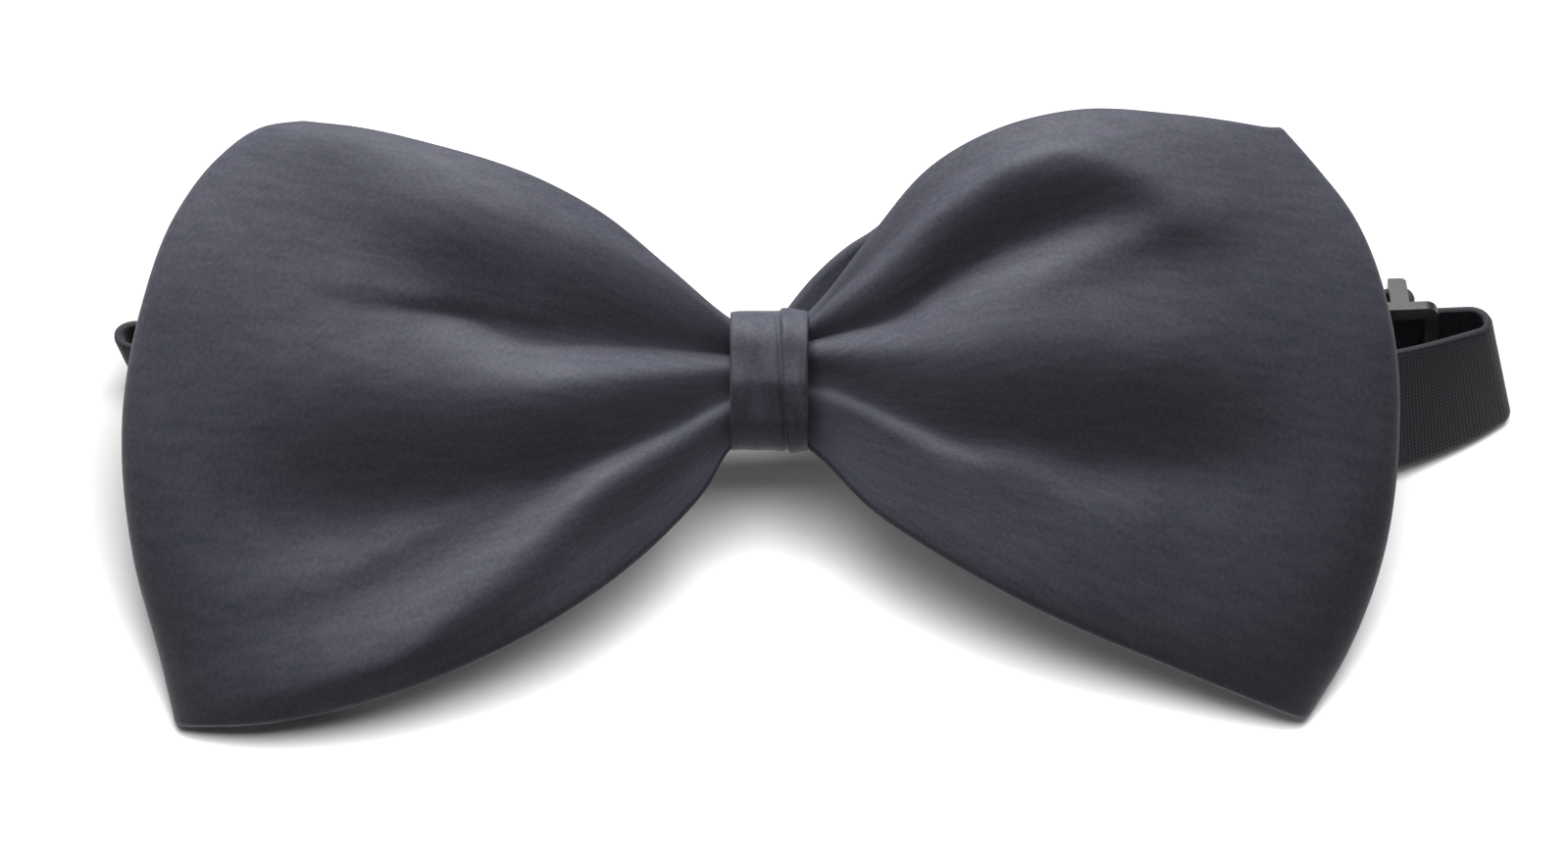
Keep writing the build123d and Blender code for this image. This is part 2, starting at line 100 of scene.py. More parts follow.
world = bpy.data.worlds.new("studio")
world.use_nodes = True
towards = world.node_tree.nodes.new("ShaderNodeTexCoord")
parts = world.node_tree.nodes.new("ShaderNodeSeparateXYZ")
from_above = world.node_tree.nodes.new("ShaderNodeMapRange")
from_above.inputs["From Min"].default_value = -0.05
from_above.inputs["From Max"].default_value = 0.9
from_above.inputs["To Min"].default_value = 0.0
from_above.inputs["To Max"].default_value = 0.32
sky = world.node_tree.nodes["Background"]
sky.inputs["Color"].default_value = (1, 1, 1, 1)
world.node_tree.links.new(towards.outputs["Generated"], parts.inputs["Vector"])
world.node_tree.links.new(parts.outputs["Z"], from_above.inputs["Value"])
world.node_tree.links.new(from_above.outputs["Result"], sky.inputs["Strength"])
bpy.context.scene.world = world
bpy.context.scene.view_settings.view_transform = "Standard"


def add_mesh(name, points, faces, uvs=None, smooth=True, also=()):
    """A mesh object in place, from an (n, 3) array of points in metres, quads, triangles in also, and one
    uv for each point. The faces are turned over together where their signed volume is negative, so that
    they look outward."""
    points = np.asarray(points, float)
    faces = np.asarray(faces)
    also = [list(map(int, f)) for f in also]
    a, b, c = (points[faces[:, k]] for k in range(3))
    volume = np.einsum("ij,ij->i", a, np.cross(b, c)).sum()
    if faces.shape[1] == 4:
        d = points[faces[:, 3]]
        volume += np.einsum("ij,ij->i", a, np.cross(c, d)).sum()
    if volume < 0:
        faces = faces[:, ::-1]
        also = [f[::-1] for f in also]
    mesh = bpy.data.meshes.new(name)
    mesh.from_pydata(points.tolist(), [], faces.tolist() + also)
    mesh.validate()
    if uvs is not None:
        layer = mesh.uv_layers.new(name="UVMap")
        corners = np.empty(len(mesh.loops), int)
        mesh.loops.foreach_get("vertex_index", corners)
        layer.data.foreach_set("uv", np.asarray(uvs, float)[corners].ravel())
    mesh.polygons.foreach_set("use_smooth", np.full(len(mesh.polygons), smooth))
    made = bpy.data.objects.new(name, mesh)
    bpy.context.scene.collection.objects.link(made)
    return made


def material(name, base, roughness, **values):
    """A node material with one Principled shader, and its links and nodes at hand for the pattern."""
    made = bpy.data.materials.new(name)
    made.use_nodes = True
    made.diffuse_color = (*base, 1)
    shader = made.node_tree.nodes["Principled BSDF"]
    shader.inputs["Base Color"].default_value = (*base, 1)
    shader.inputs["Roughness"].default_value = roughness
    for key, value in values.items():
        shader.inputs[key.replace("_", " ")].default_value = value
    return made, made.node_tree, shader


def node(tree, kind, links=(), **values):
    """A node of that kind: values set its sockets, or its properties where they start with p_, and links
    are (socket, source socket) pairs."""
    made = tree.nodes.new(kind)
    for key, value in values.items():
        if key.startswith("p_"):
            setattr(made, key[2:], value)
        else:
            made.inputs[key.replace("_", " ")].default_value = value
    for socket, source in links:
        tree.links.new(source, made.inputs[socket])
    return made


corners = [(-2.5, -2.5, 0), (2.5, -2.5, 0), (2.5, 2.5, 0), (-2.5, 2.5, 0)]
table_top = add_mesh("table_top", corners, [[0, 1, 2, 3]])
paper, tree, shader = material("white_paper", (0.86, 0.86, 0.86), 0.85)
grain = node(tree, "ShaderNodeTexNoise", Scale=900.0, Detail=3.0)
bump = node(tree, "ShaderNodeBump", [("Height", grain.outputs["Fac"])], Strength=0.02, Distance=0.0002)
tree.links.new(bump.outputs["Normal"], shader.inputs["Normal"])
table_top.data.materials.append(paper)
table_top.visible_diffuse = False

# The lamp lights the table and nothing else, and the key everything but the table
table_lamp = soft_light("table_lamp", (0.04, -0.64, 0.93), (0, 0.02, 0), 0.4, 25)
for lamp, state in ((table_lamp, "INCLUDE"), (key, "EXCLUDE")):
    lit = bpy.data.collections.new(f"lit_by_{lamp.name}")
    lit.objects.link(table_top)
    lit.collection_objects[0].light_linking.link_state = state
    lamp.light_linking.receiver_collection = lit

# ---------------------------------------------------------------- bow
# Two loops of satin tube over stiff interlining, gathered into pleats at the waist. The pleats fan out of
# the knot and fade towards the outer folds. Sizes here are in millimetres on the bow's own face: x from the
# knot's middle outward, u up the bow, and n out of its face.

MM = 0.001
mounts = {m["name"]: m for m in frame["record"]["mounts"]}
behind = np.array(mounts["collar_rest"]["axis"])
face_out = -behind
up_bow = np.array([0.0, -behind[2], behind[1]])
KNOT_BACK = 5.1
knot_middle = np.array(mounts["collar_rest"]["pos_m"]) + face_out * KNOT_BACK * MM


def on_bow(x, u, n):
    """Places given on the bow's face, as points in the row frame."""
    x, u, n = np.broadcast_arrays(x, u, n)
    along = np.array([1.0, 0.0, 0.0])
    return knot_middle + MM * (x[..., None] * along + u[..., None] * up_bow + n[..., None] * face_out)


def curve_through(points, shares):
    """Points at these shares, 0 to 1, of a smooth curve through the given points: cubic pieces whose slopes
    are the chords between each point's neighbours."""
    points = np.array(points, float)
    knots = np.r_[0, np.cumsum(np.linalg.norm(np.diff(points, axis=0), axis=1))]
    knots = knots / knots[-1]
    slopes = np.gradient(points, knots, axis=0)
    at = np.clip(np.asarray(shares, float), 0, 1)
    k = np.clip(np.searchsorted(knots, at, side="right") - 1, 0, len(points) - 2)
    gap = (knots[k + 1] - knots[k])[..., None]
    f = ((at - knots[k]) / (knots[k + 1] - knots[k]))[..., None]
    return (
        (2 * f**3 - 3 * f**2 + 1) * points[k]
        + (f**3 - 2 * f**2 + f) * gap * slopes[k]
        + (3 * f**2 - 2 * f**3) * points[k + 1]
        + (f**3 - f**2) * gap * slopes[k + 1]
    )


def ease(value):
    """0 below 0 and 1 above 1, with a smooth step between."""
    value = np.clip(value, 0, 1)
    return value * value * (3 - 2 * value)


# Edges of each wing, from the knot outward, and up its outer fold
WINGS = {
    "left": {
        "side": -1,
        "top": [(0, 3.6), (3.7, 5.9), (9.8, 10.9), (15.4, 15.5), (21, 18.7), (32.2, 22.4), (38.5, 23.8),
                (43.6, 24.2)],
        "outer": [(55.9, -33.0), (57.4, -26.5), (60.0, -16.5), (60.9, -3.0), (59.1, 7.0), (55.8, 15.8),
                  (52.4, 20.4), (48.4, 23.4), (43.6, 24.2)],
        "bottom": [(0, -4.0), (3.7, -6.5), (6.1, -10.4), (9.8, -14.4), (21, -22.8), (35.9, -29.5),
                   (47.5, -32.4), (55.9, -33.0)],
        # each pleat: its height, then the places x, u of its crest with its width above and below
        "pleats": [
            (2.3, [(3, 4.6, 0.8, 1.4), (11.2, 10.3, 1.4, 6.4), (17, 12.8, 2.8, 8.6),
                   (22.9, 14.8, 4.0, 9.6), (28.7, 16.2, 5.0, 8.4), (38, 17.0, 5.5, 7.0)]),
            (-1.7, [(3, 2.4, 0.8, 0.7), (11.2, 3.1, 3.0, 1.4), (17, 3.3, 5.0, 1.8),
                    (22.9, 3.6, 6.0, 2.2), (28.7, 6.0, 5.0, 2.4), (36, 8.0, 4.0, 2.6)]),
            (0.9, [(22, 6.6, 2.0, 1.0), (29, 7.8, 2.4, 1.1), (35, 8.3, 2.6, 1.2), (42, 9.6, 2.8, 1.4)]),
            (2.4, [(3, 1.0, 0.7, 1.6), (11.2, 0.5, 1.2, 4.0), (17, 0.0, 2.0, 6.5),
                   (22.9, -0.7, 3.2, 8.0), (28.7, -1.0, 5.0, 9.0), (34.5, -0.4, 6.5, 10.0),
                   (40.4, 0.3, 7.0, 11.0), (52, 1.0, 8.0, 12.0)]),
            (1.0, [(24, -11.0, 1.5, 2.5), (34.5, -15.3, 2.2, 2.6), (40.4, -17.8, 2.6, 2.6),
                   (54, -20.5, 3.5, 3.5)]),
            (2.4, [(3, -2.4, 0.7, 1.6), (11.2, -7.2, 1.2, 3.0), (17, -10.6, 1.8, 4.0),
                   (22.9, -15.8, 3.0, 4.5), (28.7, -20.8, 4.2, 4.0), (34.5, -25.2, 5.5, 3.5),
                   (42, -28.2, 7.0, 3.0), (52, -30, 8.0, 3.0)]),
            (-2.6, [(8, -5.0, 3.0, 5.0), (18, -9.0, 5.0, 8.0), (30, -12.0, 7.0, 10.0),
                    (58, -13.0, 9.0, 13.0)]),
        ],
        "fade": 54.0,
        "curl": 4.5,
        "rim": (2.2, 4.2),
        "lift": 6.5,
    },
    "right": {
        "side": 1,
        "top": [(0, 3.6), (3.4, 6.3), (9.8, 14.0), (15.4, 20.3), (21, 23.6), (29, 25.6), (38.5, 25.2),
                (48.0, 24.0)],
        "outer": [(50.6, -32.3), (54.6, -25.6), (57.8, -17.0), (59.3, -6.0), (58.6, 5.5), (54.8, 15.8),
                  (51.7, 19.8), (48.0, 24.0)],
        "bottom": [(0, -4.0), (4.2, -6.8), (9.8, -12.2), (15.4, -15.9), (26.6, -22.1), (37.7, -26.9),
                   (50.6, -32.3)],
        "pleats": [
            (2.5, [(3.4, 4.6, 0.7, 1.8), (10.7, 10.1, 1.0, 6.0), (16.3, 15.6, 1.3, 8.0),
                   (21.9, 19.4, 1.8, 7.5), (29.4, 21.2, 2.4, 5.8), (35, 19.4, 3.0, 4.0),
                   (42, 15.5, 4.0, 4.0)]),
            (-2.2, [(3, 3.6, 0.8, 0.7), (6.3, 4.4, 1.4, 0.9), (12.1, 5.8, 3.2, 1.5),
                    (17.9, 10.0, 4.4, 2.6), (23.7, 13.2, 5.0, 3.6), (32, 16.0, 4.0, 4.0)]),
            (0.9, [(15.4, 6.6, 1.6, 2.0), (26.6, 10.6, 2.2, 2.5), (36.8, 14.4, 2.6, 2.6),
                   (44, 16.5, 3.0, 3.0)]),
            (2.7, [(3, 2.6, 0.7, 1.6), (6.3, 2.6, 0.9, 2.0), (12.1, 2.7, 2.2, 4.6),
                   (17.9, 2.9, 4.2, 7.0), (23.7, 3.9, 6.0, 8.4), (29.6, 4.0, 7.5, 8.6),
                   (35.4, 3.2, 8.0, 8.2), (46, 2.0, 9.0, 8.0)]),
            (1.6, [(3, -1.4, 0.6, 1.6), (6.3, -2.1, 0.8, 3.2), (12.1, -4.9, 1.2, 4.5),
                   (17.9, -7.8, 1.8, 5.5), (23.7, -8.8, 2.4, 6.5), (29.6, -12.0, 3.4, 7.0),
                   (37, -13.0, 4.0, 7.0), (46, -14.5, 5.0, 7.0)]),
            (-2.4, [(8, -4.5, 3.0, 5.0), (18, -7.5, 5.0, 9.0), (30, -8.5, 6.0, 12.0),
                    (58, -9.0, 8.0, 14.0)]),
        ],
        "top_back": [(0, 4.2), (1.4, 6.4), (4.5, 10.2), (7.6, 12.9), (9.8, 14.3), (15.4, 19.9),
                     (21, 23.4), (29, 25.5), (38.5, 25.2), (48.0, 24.0)],
        "fade": 52.0,
        "curl": 1.5,
        "rim": (2.4, 2.4),
        "lift": 5.0,
    },
}


PLEAT_SHARE = 0.88


def pleat_relief(pleats, fade, x, u):
    """Height of the pleats at each place: every pleat is a bell shaped hump across its crest, with its own
    width above and below. It grows out of the knot and has faded by its crest's end."""
    relief = np.zeros_like(x)
    for height, crest in pleats:
        at_x, at_u, above, below = curve_through(crest, np.linspace(0, 1, 80)).T
        aside = u - np.interp(x, at_x, at_u)
        aside = aside / np.where(aside > 0, np.interp(x, at_x, above), np.interp(x, at_x, below))
        start = crest[0][0]
        end = min(crest[-1][0] + 6, fade + 8)
        grow = (0.22 + 0.78 * ease((x - start) / 16)) * ease((x - start + 3) / 3)
        gone = 1 - ease((x - 0.62 * end) / (0.38 * end))
        relief += PLEAT_SHARE * height * grow * gone * np.exp(-((aside**2 + 0.02) ** 0.9))
    return relief


def wing_surface(wing, turn, up):
    """The middle of the cloth as places x, u, n. turn runs from 0 at the knot in front, by pi / 2 at the
    outer fold, to pi at the knot behind, and up from 0 at the bottom edge to 1 at the top one. In front view
    it is a patch between the four edges; its depth is an ellipse along the turn, plus the pleats, less a
    roll of both edges."""
    s = np.sin(turn)
    front = np.cos(turn) > 0
    top = curve_through(wing["top"], s)
    top = np.where(front[..., None], top, curve_through(wing.get("top_back", wing["top"]), s))
    bottom = curve_through(wing["bottom"], s)
    outer = curve_through(wing["outer"], up)
    near_bottom, far_bottom = (np.array(wing["bottom"][k], float) for k in (0, -1))
    near_top, far_top = (np.array(wing["top"][k], float) for k in (0, -1))
    inner = near_bottom + (near_top - near_bottom) * up[..., None]
    su, sv = s[..., None], up[..., None]
    flat = (
        (1 - sv) * bottom + sv * top + (1 - su) * inner + su * outer
        - ((1 - su) * (1 - sv) * near_bottom + (1 - su) * sv * near_top
           + su * (1 - sv) * far_bottom + su * sv * far_top)
    )
    x, u = flat[..., 0], flat[..., 1]
    tall = np.maximum(top[..., 1] - bottom[..., 1], 1)
    from_top = (1 - up) * tall
    from_bottom = up * tall
    swell = np.where(front, 1.6 + 4.7 * ease(x / 26), 1.3 + 4.7 * ease((x - 4) / 30))
    sway = -3.2 * s**3 * (1 - up) ** 2 - wing["curl"] * ease((x - 34) / 26) * ease((up - 0.62) / 0.38)
    relief = pleat_relief(wing["pleats"], wing["fade"], x, u)
    rim, wide = wing["rim"]
    roll = ease((x - 3) / 14) * (rim * np.exp(-from_top / wide) + 1.1 * np.exp(-from_bottom / 2.2))
    lift = wing["lift"] * ease(x / 20) * (1 - up) ** 1.5 * np.sqrt(np.abs(np.cos(turn)))
    depth = np.cos(turn) * swell + np.where(front, lift, 0)
    calm = 1 - np.abs(s) ** 10
    in_front = depth + relief * calm - roll * calm
    depth = np.where(front, in_front, depth - 0.35 * relief * calm + 0.5 * roll * calm)
    return x, u, depth + sway


def satin_tube(name, wing, half_thick, inset, rows, columns):
    """A loop's cloth as a closed tube: the middle surface moved out and in along its normal, meeting in
    rounded edges above and below, and closed off at both ends inside the knot."""
    turn = np.linspace(0.0, math.pi, rows)
    share = 0.5 - 0.5 * np.cos(np.linspace(0, math.pi, columns))
    share = 0.55 * share + 0.45 * np.linspace(0, 1, columns)
    up = inset + (1 - 2 * inset) * share
    turn_grid, up_grid = np.meshgrid(turn, up, indexing="ij")
    x, u, n = wing_surface(wing, turn_grid, up_grid)
    points = on_bow(wing["side"] * x, u, n)
    du = np.gradient(points, axis=0)
    dv = np.gradient(points, axis=1)
    normal = np.cross(du, dv)
    normal /= np.maximum(np.linalg.norm(normal, axis=-1, keepdims=True), 1e-12)
    tall = np.linalg.norm(np.diff(points, axis=1), axis=-1)
    climbed = np.concatenate([np.zeros((rows, 1)), np.cumsum(tall, axis=1)], axis=1)
    edge = np.minimum(climbed, climbed[:, -1:] - climbed) / (half_thick * MM * 1.3)
    swell = half_thick * MM * np.sqrt(np.clip(1 - (1 - np.clip(edge, 0, 1)) ** 2, 0, 1))
    outside = points + normal * swell[..., None]
    inside = points - normal * swell[..., None]
    ring = np.concatenate([outside, inside[:, -2:0:-1]], axis=1)
    around = ring.shape[1]
    index = np.arange(rows * around).reshape(rows, around)
    following = np.roll(index, -1, axis=1)
    faces = np.stack([index[:-1], following[:-1], following[1:], index[1:]], -1).reshape(-1, 4)
    caps = []
    for row, flip in ((0, False), (rows - 1, True)):
        for k in range(0, columns - 1):
            a, b = index[row, k], index[row, k + 1]
            c, d = index[row, (around - k - 1) % around], index[row, (around - k) % around]
            quad = [a, d, c, b] if not flip else [a, b, c, d]
            if len(set(quad)) == 4:
                caps.append(quad)
    long = np.linalg.norm(np.diff(points, axis=0), axis=-1)
    along = np.concatenate([np.zeros((1, columns)), np.cumsum(long, axis=0)])
    along = np.broadcast_to(along.mean(axis=1, keepdims=True), along.shape)
    flat_up = np.broadcast_to(up[None, :] * 0.058, along.shape)
    uv = np.stack([along, flat_up], -1)
    uv_ring = np.concatenate([uv, uv[:, -2:0:-1]], axis=1)
    faces = np.concatenate([faces, np.array(caps)])
    return add_mesh(name, ring.reshape(-1, 3), faces, uv_ring.reshape(-1, 2))


satin, tree, shader = material(
    "charcoal_satin", (0.076, 0.078, 0.098), 0.6,
    Sheen_Weight=0.05, Sheen_Roughness=0.5, Specular_IOR_Level=0.22,
)
coords = node(tree, "ShaderNodeTexCoord")
floats = node(tree, "ShaderNodeMapping", [("Vector", coords.outputs["UV"])], Scale=(5200, 1500, 1))
threads = node(tree, "ShaderNodeTexNoise", [("Vector", floats.outputs["Vector"])], Scale=1.0, Detail=2.0)
slubs_map = node(tree, "ShaderNodeMapping", [("Vector", coords.outputs["UV"])], Scale=(260, 900, 1))
slubs = node(tree, "ShaderNodeTexNoise", [("Vector", slubs_map.outputs["Vector"])], Scale=1.0, Detail=3.0)
cross_map = node(tree, "ShaderNodeMapping", [("Vector", coords.outputs["UV"])], Scale=(2300, 2300, 1))
cross_map.inputs["Rotation"].default_value = (0, 0, 0.9)
cross = node(tree, "ShaderNodeTexNoise", [("Vector", cross_map.outputs["Vector"])], Scale=1.0, Detail=1.0)
shade = node(
    tree, "ShaderNodeMath", [(0, slubs.outputs["Fac"]), (1, cross.outputs["Fac"])], p_operation="ADD"
)
spread = node(tree, "ShaderNodeMapRange", [("Value", shade.outputs["Value"])])
spread.inputs["From Min"].default_value = 0.7
spread.inputs["From Max"].default_value = 1.3
tone = node(tree, "ShaderNodeMix", [("Factor", spread.outputs["Result"])], p_data_type="RGBA")
tone.inputs["A"].default_value = (0.060, 0.062, 0.082, 1)
tone.inputs["B"].default_value = (0.094, 0.096, 0.122, 1)
tree.links.new(tone.outputs["Result"], shader.inputs["Base Color"])
gloss = node(tree, "ShaderNodeMapRange", [("Value", threads.outputs["Fac"])])
gloss.inputs["To Min"].default_value = 0.52
gloss.inputs["To Max"].default_value = 0.7
tree.links.new(gloss.outputs["Result"], shader.inputs["Roughness"])
weave = node(tree, "ShaderNodeBump", [("Height", threads.outputs["Fac"])], Strength=0.25, Distance=0.00008)
tree.links.new(weave.outputs["Normal"], shader.inputs["Normal"])


for name, wing in WINGS.items():
    cloth = satin_tube(f"{name}_satin_loop", wing, half_thick=0.62, inset=0.0, rows=250, columns=120)
    cloth.data.materials.append(satin)
    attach(cloth, "bow")
    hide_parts("bow_satin")

interlining, tree, shader = material("interlining", (0.14, 0.14, 0.15), 0.9)
coords = node(tree, "ShaderNodeTexCoord")
fibres = node(tree, "ShaderNodeTexNoise", [("Vector", coords.outputs["Object"])], Scale=1400.0, Detail=5.0)
bump = node(tree, "ShaderNodeBump", [("Height", fibres.outputs["Fac"])], Strength=0.4, Distance=0.0002)
tree.links.new(bump.outputs["Normal"], shader.inputs["Normal"])
for name, wing in WINGS.items():
    stiffener = satin_tube(
        f"{name}_interlining_sheet", wing, half_thick=0.16, inset=0.03, rows=90, columns=50
    )
    stiffener.data.materials.append(interlining)
    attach(stiffener, "bow")
    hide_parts(f"{name}_interlining")

# ---------------------------------------------------------------- waist thread
# Polyester thread wound round the gathered waist, under the knot. Its turns are the CAD's own.

thread, tree, shader = material("black_thread", (0.03, 0.03, 0.038), 0.55, Sheen_Weight=0.2)
coords = node(tree, "ShaderNodeTexCoord")
plies = node(tree, "ShaderNodeTexWave", [("Vector", coords.outputs["Object"])], Scale=1400.0, Distortion=1.5)
bump = node(tree, "ShaderNodeBump", [("Height", plies.outputs["Fac"])], Strength=0.5, Distance=0.00006)
tree.links.new(bump.outputs["Normal"], shader.inputs["Normal"])
for name in ("waist_thread", "knot_stitches", "eye_hem_stitches", "adjuster_hem_stitches"):
    frame["nodes"][name].material_slots[0].material = thread
frame["nodes"]["knot_lining"].material_slots[0].material = interlining

# ---------------------------------------------------------------- knot
# A band of the same satin, cut on the straight and folded in, wrapped once round the waist and the strap.
# One folded edge runs down its face, and its end laps over the start behind, where it is slip stitched.

KNOT_HALF_WIDTH = 3.7
KNOT_HALF_HEIGHT = 6.6
KNOT_HALF_DEPTH = 4.6
KNOT_CORNER = 3.4
KNOT_BACK_CORNER = 1.4
BAND_THICKNESS = 0.55
LAP_HALF_HEIGHT = 3.5
LAP_THICKNESS = 0.5
KNOT_CROWN = 1.25
FOLD_STEP = 0.3


def rounded_outline(count):
    """Evenly spaced places n and u, outward directions and lengths gone round the knot seen from its side:
    straight sides, large round corners in front and small ones behind, starting in the middle of the back."""
    corners = [
        (-KNOT_HALF_DEPTH, -KNOT_HALF_HEIGHT, KNOT_BACK_CORNER, 180),
        (KNOT_HALF_DEPTH, -KNOT_HALF_HEIGHT, KNOT_CORNER, 270),
        (KNOT_HALF_DEPTH, KNOT_HALF_HEIGHT, KNOT_CORNER, 0),
        (-KNOT_HALF_DEPTH, KNOT_HALF_HEIGHT, KNOT_BACK_CORNER, 90),
    ]
    places, turned = [(-KNOT_HALF_DEPTH, 0.0)], [180.0]
    for n, u, radius, first in corners:
        middle = (n - np.sign(n) * radius, u - np.sign(u) * radius)
        for angle in np.linspace(first, first + 90, 16):
            a = math.radians(angle)
            places.append((middle[0] + radius * math.cos(a), middle[1] + radius * math.sin(a)))
            turned.append(angle)
    places.append(places[0])
    turned.append(540.0)
    places = np.array(places)
    turned = np.unwrap(np.radians(turned))
    gone = np.r_[0, np.cumsum(np.linalg.norm(np.diff(places, axis=0), axis=1))]
    at = np.linspace(0, gone[-1], count, endpoint=False)
    n, u, a = (np.interp(at, gone, v) for v in (places[:, 0], places[:, 1], turned))
    return n, u, np.cos(a), np.sin(a), at


rows, around = 260, 160
n, u, out_n, out_u, at = rounded_outline(rows)
part = np.linspace(0, 2 * math.pi, 2001)
section_x = np.sign(np.cos(part)) * np.abs(np.cos(part)) ** 0.35 * KNOT_HALF_WIDTH
section_h = np.sign(np.sin(part)) * np.abs(np.sin(part)) ** 0.6 * BAND_THICKNESS / 2
gone = np.r_[0, np.cumsum(np.hypot(np.diff(section_x), np.diff(section_h)))]
even = np.linspace(0, gone[-1], around, endpoint=False)
section_x, section_h = np.interp(even, gone, section_x), np.interp(even, gone, section_h)
x = np.broadcast_to(section_x, (rows, around)).copy()
height = np.broadcast_to(section_h, (rows, around)).copy()
in_front = ease((n[:, None] + 1.0) / 3.0)
fold_line = 1.5 - 0.07 * u[:, None]
step = ease((x - fold_line) / 0.32 + 0.5) - 0.7 * np.exp(-(((x - fold_line + 0.28) / 0.22) ** 2))
outer_skin = (section_h > 0)[None, :]
ridge = KNOT_CROWN * (1 - np.sqrt((u[:, None] / KNOT_HALF_HEIGHT) ** 2 + 0.004)) * in_front
behind_knot = 1 - ease((n[:, None] + KNOT_HALF_DEPTH - 0.3) / 0.3)
lap = ease((LAP_HALF_HEIGHT - np.abs(u[:, None])) / 0.35) * behind_knot
ripple = 0.07 * np.sin(0.9 * u[:, None] + 1.3 * x) + 0.05 * np.sin(2.1 * x - 0.5 * u[:, None] + 1.0)
proud = in_front * (FOLD_STEP * step + ripple) + LAP_THICKNESS * lap
height = height + np.where(outer_skin, proud, 0) + ridge
pinch = 1 - 0.035 * np.exp(-((u[:, None] - 1.0) / 3.2) ** 2) * in_front
n_all = n[:, None] - BAND_THICKNESS / 2 * out_n[:, None] + height * out_n[:, None]
u_all = u[:, None] - BAND_THICKNESS / 2 * out_u[:, None] + height * out_u[:, None]
points = on_bow(x * pinch, u_all, n_all)
index = np.arange(rows * around).reshape(rows, around)
beside = np.roll(index, -1, 1)
faces = np.stack([index, beside, np.roll(beside, -1, 0), np.roll(index, -1, 0)], -1)
uv = np.stack([np.broadcast_to(at[:, None], x.shape), x], -1) * MM
knot = add_mesh("knot_satin", points.reshape(-1, 3), faces.reshape(-1, 4), uv.reshape(-1, 2))
knot.data.materials.append(satin)
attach(knot, "bow")
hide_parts("knot_band")

# ---------------------------------------------------------------- neck strap
# A woven tape, twelve millimetres wide. From inside the knot it swings down and back on both sides, stands
# up on its edge and folds behind the wings. The right end runs to the clasp's hook and returns to the
# adjuster; the left end is hemmed round the clasp's eye.

HALF_TAPE = 6.0 * MM
HALF_TAPE_IN_KNOT = 5.3 * MM
TAPE_THICKNESS = 0.9 * MM
STRAP_SEAT = 3.15 * MM
FOLD_RADIUS = 1.8 * MM
WRAP_RADIUS = 1.25 * MM
HEM_LENGTH = 9.0 * MM
HEM_THROAT = 3.0 * MM
ADJUSTER_BAR_OUT = 2.35 * MM
FOLD_SPREAD = 9.0 * MM
RIGHT_FOLD_SLANT = -0.19
LEFT_FOLD_SLANT = -0.36
LEFT_FOLD_SHIFT = 2.1 * MM

joints = {j["name"]: j for j in frame["joints"]}
right_fold = np.array(joints["right_strap_opens"]["pos_m"])
left_fold = np.array(joints["left_strap_opens"]["pos_m"])
hook_bar = np.array(joints["hook_swivels"]["pos_m"])
eye_bar = np.array(joints["eye_swivels"]["pos_m"])
along_back = -np.array(joints["adjuster_slides"]["axis"])
outward = np.array([-along_back[1], along_back[0], 0.0])
upright = np.array([0.0, 0.0, 1.0])
run_low, run_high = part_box("strap_long_run")
tape_height = 0.5 * (run_low[2] + run_high[2])
lean = math.atan2(up_bow[1], up_bow[2])


def on_run(along, out):
    """Places on the strap's back run, along it from the right fold and out behind the long run's middle."""
    along, out = np.broadcast_arrays(np.asarray(along, float), np.asarray(out, float))
    start = right_fold * [1, 1, 0] + outward * FOLD_RADIUS + upright * tape_height
    return start + along[..., None] * along_back + out[..., None] * outward


def from_run(point):
    """The along and out of a point, as on_run takes them."""
    away = np.array(point) - on_run(0.0, 0.0)
    return away @ along_back, away @ outward


hook_along, hook_out = from_run(hook_bar)
return_out = 2 * WRAP_RADIUS


def front_run(side, count):
    """Middles, width directions and half widths from the knot to where a fold starts, and the tape's turn
    there: a curve that leaves straight, bends back as the square of its share, and drops with a smooth step.
    The tape turns upright near the fold."""
    fold = right_fold if side > 0 else left_fold
    start = knot_middle - face_out * STRAP_SEAT + [side * 4.6 * MM, 0, 0]
    turn = 0.7
    for _ in range(20):
        end = fold + np.array([side * math.sin(turn), -math.cos(turn), 0]) * FOLD_RADIUS
        turn = math.atan2(2 * (end[1] - start[1]), abs(end[0] - start[0]))
    end = np.array([end[0], end[1], tape_height])
    share = np.linspace(0, 1, count)[:, None]
    middle = start + (end - start) * np.hstack([share, share**2, ease(share)])
    tilt = lean * (1 - share[:, 0] ** 6)
    wide = np.stack([0 * tilt, np.sin(tilt), np.cos(tilt)], -1)
    half = HALF_TAPE_IN_KNOT + (HALF_TAPE - HALF_TAPE_IN_KNOT) * np.clip(4 * share[:, 0], 0, 1)
    inside = knot_middle - face_out * STRAP_SEAT
    middle = np.vstack([inside, inside + 0.6 * (middle[0] - inside), middle])
    wide = np.vstack([wide[:1], wide[:1], wide])
    half = np.r_[half[0], half[0], half]
    return middle, wide, half, turn


def after_front_run(path, wide, half):
    """Width directions and half widths for a whole path, upright and full past the front run, and a bell that
    is 1 in the middle of the fold and fades along the path on both sides of it."""
    extra = len(path) - len(wide)
    widths = np.vstack([wide, np.tile(upright, (extra, 1))])
    halves = np.r_[half, np.full(extra, HALF_TAPE)]
    gone = np.r_[0, np.cumsum(np.linalg.norm(np.diff(path, axis=0), axis=1))]
    bell = np.exp(-(((gone - gone[len(wide) + 12]) / FOLD_SPREAD) ** 2))
    return widths, halves, bell[:, None]


def fold_arc(fold, first, last, count):
    """Middles of the tape round a fold, between two angles in radians."""
    angle = np.linspace(first, last, count)
    ring = np.stack([np.cos(angle), np.sin(angle), 0 * angle], -1) * FOLD_RADIUS
    return fold * [1, 1, 0] + ring + upright * tape_height


